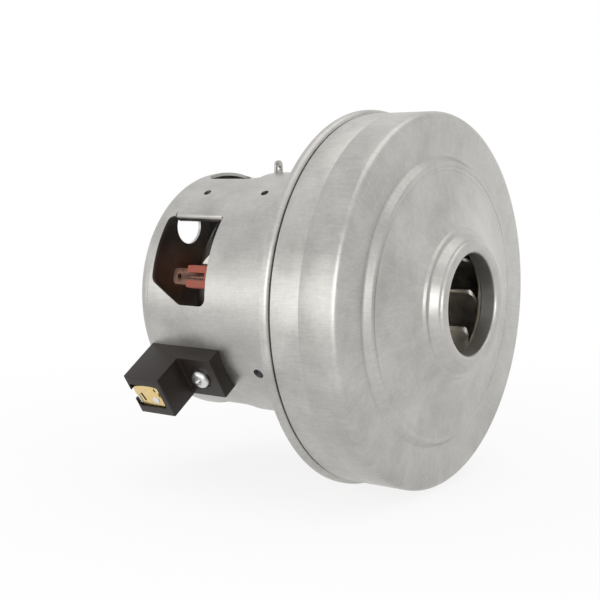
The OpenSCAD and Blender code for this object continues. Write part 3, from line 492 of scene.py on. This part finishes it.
def window_lip(side):
    """The sheet at the window's edge, bent in with a soft bend. It starts flush in the can's wall."""
    start = math.asin((WINDOW_HALF + 0.5) / CAN_R)
    start_r = CAN_R - 0.03
    slope = math.asin(WINDOW_HALF / CAN_R)
    edge_x = CAN_R * math.cos(slope) + (WINDOW_HALF - LIP_AT) * math.tan(slope)
    bm = bmesh.new()
    draw(bm, [(start_r * math.cos(start), start_r * math.sin(start)), (edge_x, LIP_AT, LIP_BEND),
              (edge_x - LIP_LENGTH, LIP_AT)])
    bmesh.ops.rotate(bm, matrix=Matrix.Rotation(-math.pi / 2, 3, "X"), verts=bm.verts[:])
    shift(bm, (0, 0, LIP_REAR - LIP_FRONT), bmesh.ops.extrude_edge_only(bm, edges=bm.edges[:])["geom"])
    tidy(bm)
    root = max(bm.faces, key=lambda f: f.calc_center_median().y)
    bmesh.ops.solidify(bm, geom=bm.faces[:], thickness=CAN_WALL if root.normal.x > 0 else -CAN_WALL)
    shift(bm, (0, 0, LIP_FRONT))
    bmesh.ops.scale(bm, vec=(1, -side, 1), verts=bm.verts[:])
    tidy(bm)
    return eased(bm, 0.25, 50, 3)


def can_hole(radius, z):
    """A cutter for a round hole through the can's side."""
    return pin(radius, CAN_IN - 1, CAN_R + 1, z)


tools = [turned(window_tool(side), angle) for angle, side in windows]
for quarter in range(4):
    quarter_line = POLE_LINE + 90 * quarter
    tools.append(turned(peg(VENT_R, 6, VENT_AT, CAN_REAR - 0.6, 48), quarter_line))
    tools.append(turned(peg(BRACKET_HOLE_R, 6, BRACKET_SCREW_AT, 0.6, 24), quarter_line))
for turn in BOTH_SIDES:
    for z in TOOL_HOLES_AT:
        tools.append(turned(can_hole(TOOL_HOLE_R, z), POLE_LINE + turn))
    tools.append(turned(can_hole(BRUSH_HOLE_R, BRUSH_HOLE_AT), BRUSH_LINE + turn))
    tools.append(turned(can_hole(HOLDER_SCREW_HOLE_R, HOLDER_SCREW_AT), BRUSH_LINE + turn))
    stem_room = block((CAN_IN - 2, -STEM_HALF, 58.1), (CAN_R + 1, STEM_HALF, 72.9))
    tools.append(turned(stem_room, BRUSH_LINE + turn))
can = carved(can, joined(*tools))
bmesh.ops.dissolve_degenerate(can, dist=1e-3, edges=can.edges[:])
lips = [turned(window_lip(side), angle) for angle, side in windows]
tab = plate([
    (CAN_R - 0.6, -EARTH_TAB_HALF), (EARTH_TAB_OUT, -EARTH_TAB_HALF, 1.9),
    (EARTH_TAB_OUT, EARTH_TAB_HALF, 1.9), (CAN_R - 0.6, EARTH_TAB_HALF)],
    WINDOW_FRONT - 0.9, WINDOW_FRONT - 0.1)
tab = carved(tab, peg(0.85, 3, CAN_R + 1.5, WINDOW_FRONT - 0.5, 24))
tab = turned(eased(tab, 0.12, 60, 2), EARTH_TAB_LINE)
piece("frame_can", joined(can, tab, *lips), "frame", GALVANISED, ["motor_frame"])

# Brush gear: a plate with a box, where the brass tube ends in a shallow mouth, and its screw
HOLDER_PLATE = 52.1
HOLDER_BOX = 64.9
HOLDER_HALF = 8.8
HOLDER_FRONT = 41.7
BOX_FRONT = 57
HOLDER_REAR = 74
BRUSH_AT = 65.5
TUBE_END = 63.7
SCREW_SEAT = 51.7
SCREW_R = 1.6
SCREW_HEAD_R = 3.6
SCREW_HEAD_H = 2.7


def brush_holder():
    """The moulding: plate, box and stem, less the mouth, the lead's notch and the screw's seat."""
    foot = CAN_R - 1.2
    side = HOLDER_HALF - 0.1
    bm = side_cut([
        (foot, HOLDER_FRONT), (HOLDER_PLATE, HOLDER_FRONT, 0.5), (HOLDER_PLATE, BOX_FRONT, 0.2),
        (HOLDER_BOX, BOX_FRONT, 0.5), (HOLDER_BOX, HOLDER_REAR, 0.7), (foot, HOLDER_REAR)],
        -HOLDER_HALF, HOLDER_HALF)
    eased(bm, 0.45, 40, 3, lambda e: abs(e.verts[0].co.y) > side and abs(e.verts[1].co.y) > side
          and (e.verts[0].co - e.verts[1].co).y == 0)
    under_r = CAN_R + 0.03
    bm = carved(bm, spun([(0, 30), (under_r, 30), (under_r, 80), (0, 80)], steps=MIDDLE_STEPS))
    bm = carved(bm, eased(block((19, -5.95, 58.25), (HOLDER_PLATE - 1, 5.95, 72.75)), 0.4, 40, 2), "UNION")
    mouth = slab([(-5.5, 59.5, 1.3), (5.1, 59.5, 1.3), (5.1, 73.1, 1.0), (-5.5, 73.1, 1.0)],
                 TUBE_END - 0.35, 66)
    bore = block((18, -4.0, 59.7), (66, 4.0, 71.3))
    notch = eased(block((61.3, -2.4, BRUSH_AT), (66, 2.4, 75)), 0.25, 40, 2)
    head_room = outwards(spun([(0, -0.4), (4.3, -0.4), (4.3, 0), (4.6, 0.35), (0, 0.35)], steps=SMALL_STEPS),
                         HOLDER_PLATE, HOLDER_SCREW_AT)
    screw_hole = pin(HOLDER_SCREW_HOLE_R, CAN_IN, HOLDER_PLATE, HOLDER_SCREW_AT)
    bm = carved(bm, joined(mouth, bore, notch, head_room, screw_hole))
    bmesh.ops.dissolve_degenerate(bm, dist=1e-3, edges=bm.edges[:])
    return bm


def brush_tube():
    """A folded brass tube. Its outer end is a cap with two ears, bent a little, and a slanted slot."""
    bm = slab([(-3.9, 59.8, 0.9), (3.9, 59.8, 0.9), (3.9, 71.2, 0.9), (-3.9, 71.2, 0.9)],
              14.7, TUBE_END - 0.3)
    bore = slab([(-3.3, 60.4, 0.4), (3.3, 60.4, 0.4), (3.3, 70.6, 0.4), (-3.3, 70.6, 0.4)],
                14, TUBE_END - 0.9)
    bm = carved(bm, bore)
    cap = slab([
        (-5.3, 60.6, 0.8), (-0.9, 60.1, 0.5), (-0.6, 61.4, 0.5), (1.2, 61.2, 0.5), (1.6, 60.2, 0.5),
        (3.9, 60.6, 0.9), (4.6, 65.5, 9), (3.7, 71.7, 0.9), (2.3, 72.8, 0.6), (-0.5, 72.9, 0.6),
        (-0.9, 71.6, 0.4), (-4.0, 71.4, 0.4), (-5.2, 71.6, 0.6), (-5.35, 66, 9)],
        TUBE_END - 0.2, TUBE_END + 0.5)
    slot = block((TUBE_END - 3, -1.8, -0.5), (TUBE_END + 1, 1.8, 0.5))
    bmesh.ops.rotate(slot, matrix=Matrix.Rotation(math.radians(12), 3, "X"), verts=slot.verts[:])
    shift(slot, (0, -1.2, 69.4))
    dimple = block((TUBE_END - 3, 1.9, 61.9), (TUBE_END + 1, 3.3, 62.7))
    return carved(joined(bm, eased(cap, 0.2, 50, 2)), joined(slot, dimple))


def brush_clip():
    """The lead's steel clip: a strip under the cap's rear edge, one bent end beside it and one on the cap."""
    strip = slab([(-2, 71.25, 0.3), (2, 71.25, 0.3), (1.7, 73.5, 0.5), (-1.7, 73.5, 0.5)], 61.9, 62.5)
    rear = slab([(-4.9, 71.6, 0.6), (-1.0, 71.8, 0.6), (-1.0, 73.0, 0.6), (-4.6, 73.0, 0.6)],
                TUBE_END - 0.3, TUBE_END + 0.45)
    front = slab([(-3.9, 62.4, 0.7), (-0.7, 61.9, 0.7), (-0.5, 64.4, 0.9), (-3.3, 65.6, 0.9)],
                 TUBE_END + 0.3, TUBE_END + 0.8)
    return joined(*[eased(bm, 0.2, 50, 2) for bm in (strip, rear, front)])


def pan_head(radius, height):
    """A pan head that faces +z, with a cross recess that tapers in."""
    bm = spun([
        (0, 0), (radius - 0.15, 0), (radius, 0.15), (radius, height * 0.5, 0.3),
        (radius * 0.88, height * 0.94, radius * 0.24), (radius * 0.4, height, 1), (0, height)],
        steps=SMALL_STEPS)
    reach = radius * 0.62
    half = radius * 0.15
    blades = []
    for turn in (0, 90):
        blade = block((-reach, -half, height * 0.3), (reach, half, height + 1))
        foot = [v for v in blade.verts if v.co.z < height * 0.4]
        bmesh.ops.scale(blade, vec=(0.45, 0.7, 1), verts=foot)
        blades.append(turned(blade, turn + 20))
    centre = bmesh.new()
    bmesh.ops.create_cone(centre, cap_ends=True, segments=20, radius1=radius * 0.12, radius2=radius * 0.26,
                          depth=height * 0.66)
    shift(centre, (0, 0, height * 0.69))
    return eased(carved(bm, joined(*blades, centre)), 0.05, 50, 1, lambda e: e.calc_length() > 0.3)


def threaded(radius, low, high, pitch):
    """A screw's shank, its thread drawn as rings."""
    root = radius - 0.25
    path = [(0, low), (radius - 0.35, low)]
    turns = int((high - low - 0.6) / pitch)
    for i in range(turns):
        path += [(radius, low + pitch * (i + 0.5)), (root, low + pitch * (i + 1))]
    return spun(path + [(root, high), (0, high)], steps=32)


def holder_screw():
    shank = threaded(SCREW_R, CAN_IN - 1.2 - SCREW_SEAT, 0.1, 0.5)
    return outwards(joined(shank, pan_head(SCREW_HEAD_R, SCREW_HEAD_H)), SCREW_SEAT, HOLDER_SCREW_AT)


SPRING_IN = 39.72
SPRING_OUT = 63
SPRING_R = 2.4
SPRING_WIRE_R = 0.28
SPRING_TURNS = 9


def brush_spring():
    """A helix of round wire behind the brush, its two ends closed."""
    bm = bmesh.new()
    bmesh.ops.create_circle(bm, segments=10, radius=SPRING_WIRE_R)
    bmesh.ops.rotate(bm, matrix=Matrix.Rotation(math.pi / 2, 3, "X"), verts=bm.verts[:])
    shift(bm, (SPRING_R, 0, SPRING_WIRE_R))
    steps = SPRING_TURNS * 24
    rise = SPRING_OUT - SPRING_IN - 2 * SPRING_WIRE_R
    bmesh.ops.spin(bm, geom=bm.verts[:] + bm.edges[:], cent=(0, 0, 0), axis=(0, 0, 1),
                   dvec=(0, 0, rise / steps), angle=math.tau * SPRING_TURNS, steps=steps)
    bmesh.ops.holes_fill(bm, edges=[e for e in bm.edges if e.is_boundary], sides=0)
    tidy(bm)
    return outwards(bm, SPRING_IN, BRUSH_AT)


for side, turn in zip(("near", "far"), BOTH_SIDES):
    line = BRUSH_LINE + turn
    coil_spring = piece("spring_" + side, brush_spring(), "frame", TURNED,
                        ["brush_spring_" + side], angle=line, sharp=50)
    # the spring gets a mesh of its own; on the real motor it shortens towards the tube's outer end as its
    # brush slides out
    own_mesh(coil_spring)
    piece("holder_" + side, brush_holder(), "frame", PHENOLIC, ["brush_holder_" + side],
          angle=line, sharp=38)
    piece("tube_" + side, brush_tube(), "frame", BRASS, ["brush_tube_" + side], angle=line, sharp=40)
piece("lead_clips", twins(brush_clip, BRUSH_LINE), "frame", ZINC, ["brush_clips"], sharp=40)
piece("holder_screws", twins(holder_screw, BRUSH_LINE), "frame", ZINC, ["brush_holder_screws"],
      sharp=40)

# Terminals: a moulded block with a groove down its face, and the spade tab that stands in it
STACK_REAR = 42
BLOCK_HALF = 4.1
BLOCK_OUT = 43.9
BLOCK_REAR = 56.4
RIBS_AT = (-4.25, 3.85)       # one rib on each side of the groove
RIB_W = 0.4
SPADE_IN = 40.7
SPADE_HALF = 3.15
SPADE_WALL = 0.8
SPADE_REAR = 65.2


def terminal_block():
    bm = slab([
        (-BLOCK_HALF, STACK_REAR), (BLOCK_HALF, STACK_REAR),
        (BLOCK_HALF, BLOCK_REAR, 0.5), (-BLOCK_HALF, BLOCK_REAR, 0.5)], 39, BLOCK_OUT)
    eased(bm, 0.3, 50, 2, lambda e: min(e.verts[0].co.x, e.verts[1].co.x) > BLOCK_OUT - 0.1)
    groove = block((SPADE_IN + 0.4, -1.5, 48), (BLOCK_OUT + 1, 1.5, 60))
    rest = block((SPADE_IN - 0.02, -3.17, 44.98), (SPADE_IN + 0.82, 3.17, 60))
    lead_in = block((SPADE_IN - 0.25, -3.4, BLOCK_REAR - 0.4), (SPADE_IN + 1.05, 3.4, 60), 0.2)
    ribs = []
    for y in RIBS_AT:
        rib = block((BLOCK_OUT - 0.9, y, 43.2), (BLOCK_OUT - 0.5, y + RIB_W, BLOCK_REAR - 1.5))
        ribs.append(eased(rib, 0.12, 40, 2))
    return joined(carved(bm, joined(groove, rest, lead_in)), *ribs)


def spade_tab():
    bm = slab([
        (-SPADE_HALF, 45), (SPADE_HALF, 45), (SPADE_HALF, SPADE_REAR, 2.1), (-SPADE_HALF, SPADE_REAR, 2.1)],
        SPADE_IN, SPADE_IN + SPADE_WALL)
    bm = carved(bm, pin(0.9, SPADE_IN - 1, SPADE_IN + 2, SPADE_REAR - 3.2))
    bend = eased(block((SPADE_IN + 0.5, -0.8, 49), (SPADE_IN + 1.2, 0.8, 57.8)), 0.3, 40, 3)
    return joined(eased(bm, 0.2, 50, 3), bend)


piece("terminal_mouldings", twins(terminal_block, TERMINAL_LINE), "frame", RED,
      ["terminal_blocks"], sharp=40)
piece("spade_tabs", twins(spade_tab, TERMINAL_LINE), "frame", TINNED,
      ["terminal_tabs"], sharp=40)

# Paper guards that stand beside each coil's rear end, their rear edge cut at a slant
GUARD_IN = 39.2
GUARD_OUT = 40
GUARD_REAR = 53
GUARD_SPAN = 11
GUARD_MIDDLE = 32.5


def coil_guard(side):
    bm = bmesh.new()
    draw(bm, [(GUARD_IN, STACK_REAR), (GUARD_OUT, STACK_REAR),
              (GUARD_OUT, GUARD_REAR), (GUARD_IN, GUARD_REAR)], closed=True)
    bmesh.ops.contextual_create(bm, geom=bm.edges[:])
    bmesh.ops.spin(bm, geom=bm.verts[:] + bm.edges[:] + bm.faces[:], cent=(0, 0, 0), axis=(0, 0, 1),
                   angle=math.radians(GUARD_SPAN), steps=10)
    tidy(bm)
    turned(bm, -GUARD_SPAN / 2)
    cut = bmesh.ops.bisect_plane(bm, geom=bm.verts[:] + bm.edges[:] + bm.faces[:], dist=1e-5,
                                 plane_co=(GUARD_IN, side * 3.2, GUARD_REAR), plane_no=(0, -side * 0.6, 0.8),
                                 clear_outer=True)["geom_cut"]
    bmesh.ops.contextual_create(bm, geom=[e for e in cut if isinstance(e, bmesh.types.BMEdge)])
    tidy(bm)
    return eased(bm, 0.12, 50, 2)


guards = [turned(coil_guard(side), POLE_LINE + turn + side * GUARD_MIDDLE) for turn in BOTH_SIDES
          for side in (-1, 1)]
piece("end_guards", joined(*guards), "frame", PAPER, ["coil_guards"], sharp=40)

# Impeller: two spun sheets and nine curved blades, their front corners rounded off next to the neck
IMPELLER_R = 52
PLATE_FRONT = -16.5
RIM_FRONT = -23.5
NECK_R = 20.4
NECK_FRONT = -31.9
SHEET = 0.8
SHAFT_HOLE_R = 4.02
CLAMPED_R = 9.4               # the back plate stands 0.1 forward where it is clamped
BLADES = 9
BLADE_IN = 19.9
BLADE_OUT = 51.6
BLADE_WALL = 0.9
EYE_ANGLE = 32
RIM_ANGLE = 35
FIRST_BLADE = 172
BLADE_FOOT = PLATE_FRONT + 0.05

shroud = spun([(IMPELLER_R, RIM_FRONT), (NECK_R + 0.4, -30.3, 3.2), (NECK_R, NECK_FRONT)], SHEET,
              steps=MIDDLE_STEPS)
piece("impeller_front_sheet", eased(shroud, 0.15, 60, 2), "rotor", ALUMINIUM,
      ["impeller_shroud"], sharp=40)
back = spun([
    (SHAFT_HOLE_R, PLATE_FRONT), (CLAMPED_R, PLATE_FRONT), (CLAMPED_R + 0.4, PLATE_FRONT + 0.1),
    (IMPELLER_R, PLATE_FRONT + 0.1), (IMPELLER_R, PLATE_FRONT + SHEET), (SHAFT_HOLE_R, PLATE_FRONT + SHEET)],
    steps=MIDDLE_STEPS, closed=True)
piece("impeller_rear_sheet", eased(back, 0.12, 60, 2), "rotor", ALUMINIUM,
      ["impeller_back_plate"], sharp=40)


def blade_set():
    """Sheet blades on circular arcs, trimmed to the room between the two sheets."""
    a0 = math.radians(EYE_ANGLE)
    a1 = math.radians(RIM_ANGLE)
    bend = (BLADE_OUT ** 2 - BLADE_IN ** 2) / (2 * (BLADE_OUT * math.cos(a1) - BLADE_IN * math.cos(a0)))
    centre = Vector((BLADE_IN - bend * math.cos(a0), bend * math.sin(a0), 0))
    lean = math.atan2(centre.y, centre.x)
    swing = math.acos((BLADE_OUT ** 2 - centre.length ** 2 - bend ** 2) / (2 * bend * centre.length))
    span = lean - swing + a0
    blades = []
    for i in range(BLADES):
        bm = bmesh.new()
        foot = bm.verts.new((bend - BLADE_WALL / 2, 0, BLADE_FOOT))
        head = bm.verts.new((bend - BLADE_WALL / 2, 0, NECK_FRONT))
        bm.edges.new((foot, head))
        bmesh.ops.spin(bm, geom=bm.verts[:] + bm.edges[:], cent=(0, 0, 0), axis=(0, 0, 1),
                       angle=span, steps=24)
        tidy(bm)
        if bm.faces[:][0].normal.x * bend < 0:
            bmesh.ops.reverse_faces(bm, faces=bm.faces[:])
        bmesh.ops.solidify(bm, geom=bm.faces[:], thickness=-BLADE_WALL)
        tidy(bm)
        turned(bm, -EYE_ANGLE)
        shift(bm, centre)
        blades.append(turned(bm, FIRST_BLADE + i * 360 / BLADES))
    between = spun([
        (BLADE_IN, BLADE_FOOT), (BLADE_IN, -29.3, 3.4), (24, -28.35, 4), (BLADE_OUT, RIM_FRONT + SHEET - 0.1),
        (BLADE_OUT, BLADE_FOOT)], steps=MIDDLE_STEPS, closed=True)
    return eased(carved(joined(*blades), between, "INTERSECT"), 0.15, 60, 2)


piece("impeller_vanes", blade_set(), "rotor", ALUMINIUM, ["impeller_blades"], sharp=40)

# Finishes of the nodes that keep their CAD solids
cad_finish = {
    "front_bracket": GALVANISED, "bracket_screws": ZINC, "diffuser": NYLON, "impeller_spacer": TURNED,
    "impeller_washer": ZINC, "impeller_nut": ZINC, "shaft": TURNED, "armature_core": LAMINATION,
    "armature_insulators": PAPER, "armature_winding": WIRE, "commutator_hub": HUB,
    "commutator_segments": COPPER, "front_bearing_outer": BEARING, "front_bearing_inner": BEARING,
    "front_bearing_balls": BEARING, "front_bearing_cage": CAGE, "front_bearing_shields": ZINC,
    "rear_bearing_outer": BEARING, "rear_bearing_inner": BEARING, "rear_bearing_balls": BEARING,
    "rear_bearing_cage": CAGE, "rear_bearing_shields": ZINC, "wave_washer": TURNED,
    "stator_core": LAMINATION, "field_coil_upper": COIL, "field_coil_lower": COIL,
    "slot_liner_upper": PAPER, "slot_liner_lower": PAPER, "carbon_brush_near": CARBON,
    "carbon_brush_far": CARBON, "brush_leads": SLEEVE}
for node, mat in cad_finish.items():
    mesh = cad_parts[node].data
    mesh.materials.clear()
    mesh.materials.append(mat)

# Camera at the photograph's place, from a fit to the photograph
camera = bpy.data.cameras.new("camera")
camera.lens = 69.65
camera.sensor_width = 36
camera.clip_start = 0.01
camera.clip_end = 100
camera_obj = bpy.data.objects.new("camera", camera)
camera_obj.matrix_world = Matrix((
    (0.5852, 0.0822, -0.8067, -0.3635),
    (-0.8109, 0.0593, -0.5822, -0.2262),
    (0.0, 0.9949, 0.1013, 0.0428),
    (0, 0, 0, 1)))
bpy.context.scene.collection.objects.link(camera_obj)
bpy.context.scene.camera = camera_obj


def white_rays(tree):
    """1 for the rays that show the white background: camera, glossy and transmission rays."""
    path = add(tree, "ShaderNodeLightPath").outputs
    seen = add(tree, "ShaderNodeMath", {0: path["Is Camera Ray"], 1: path["Is Glossy Ray"]},
               operation="MAXIMUM")
    shown = add(tree, "ShaderNodeMath", {0: seen.outputs["Value"], 1: path["Is Transmission Ray"]},
                operation="MAXIMUM")
    return shown.outputs["Value"]


def grey(value):
    return (value, value, value, 1)


# Floor: pale, it takes the shadow, and its lit part is as white as the backdrop
FLOOR_HALF = 12
SHADOW_NEAR = 0.1             # the floor's own light fades out from here towards the part
SHADOW_FAR = 0.4
floor_mesh = bpy.data.meshes.new("floor")
bm = bmesh.new()
bmesh.ops.create_grid(bm, x_segments=1, y_segments=1, size=FLOOR_HALF)
shift(bm, (0, 0, -FLANGE_R * MM))
bm.to_mesh(floor_mesh)
bm.free()
floor = bpy.data.objects.new("floor", floor_mesh)
bpy.context.scene.collection.objects.link(floor)
white = bpy.data.materials.new("painted_floor")
white.use_nodes = True
tree = white.node_tree
tree.nodes.clear()
plain = add(tree, "ShaderNodeBsdfDiffuse", Color=grey(0.93))
glow = add(tree, "ShaderNodeEmission", Color=grey(1), Strength=1.0)
place = add(tree, "ShaderNodeTexCoord").outputs["Object"]
reach = add(tree, "ShaderNodeVectorMath", {0: place}, operation="LENGTH")
fade = spread(tree, reach.outputs["Value"], SHADOW_NEAR, SHADOW_FAR, 0.82, interpolation_type="SMOOTHSTEP")
share = add(tree, "ShaderNodeMix", {"Factor": white_rays(tree), "B": fade}, A=0.6)
mix = add(tree, "ShaderNodeMixShader", {0: share.outputs["Result"], 1: plain.outputs["BSDF"],
                                        2: glow.outputs["Emission"]})
add(tree, "ShaderNodeOutputMaterial", {"Surface": mix.outputs["Shader"]})
floor_mesh.materials.append(white)

# World: a white backdrop, which metal and glass show too, and a slightly greyer room for the plain light
world = bpy.data.worlds.new("studio")
bpy.context.scene.world = world
world.use_nodes = True
tree = world.node_tree
tree.nodes.clear()
room = add(tree, "ShaderNodeBackground", Color=grey(0.75), Strength=1.0)
backdrop = add(tree, "ShaderNodeBackground", Color=grey(1), Strength=1.0)
mix = add(tree, "ShaderNodeMixShader", {0: white_rays(tree), 1: room.outputs["Background"],
                                        2: backdrop.outputs["Background"]})
add(tree, "ShaderNodeOutputWorld", {"Surface": mix.outputs["Shader"]})


def softbox(name, place, aim, width, height, power):
    lamp = bpy.data.lights.new(name, "AREA")
    lamp.shape = "RECTANGLE"
    lamp.size = width
    lamp.size_y = height
    lamp.energy = power
    obj = bpy.data.objects.new(name, lamp)
    bpy.context.scene.collection.objects.link(obj)
    way = Vector(aim) - Vector(place)
    obj.matrix_world = Matrix.Translation(place) @ way.to_track_quat("-Z", "Y").to_matrix().to_4x4()


softbox("left_softbox", (-0.52, 0.12, 0.04), (0, 0.12, 0.04), 1.0, 0.21, 0.9)
softbox("front_softbox", (-0.62, -0.42, 0.12), (0, 0, 0), 0.4, 0.3, 1.2)
softbox("right_softbox", (0.6, -0.12, 0.05), (0, 0, 0), 0.3, 0.3, 0.1)
softbox("top_softbox", (0.1, -0.1, 1.1), (0, 0, 0), 1.2, 1.0, 2.7)

bpy.context.scene.view_settings.view_transform = "Standard"
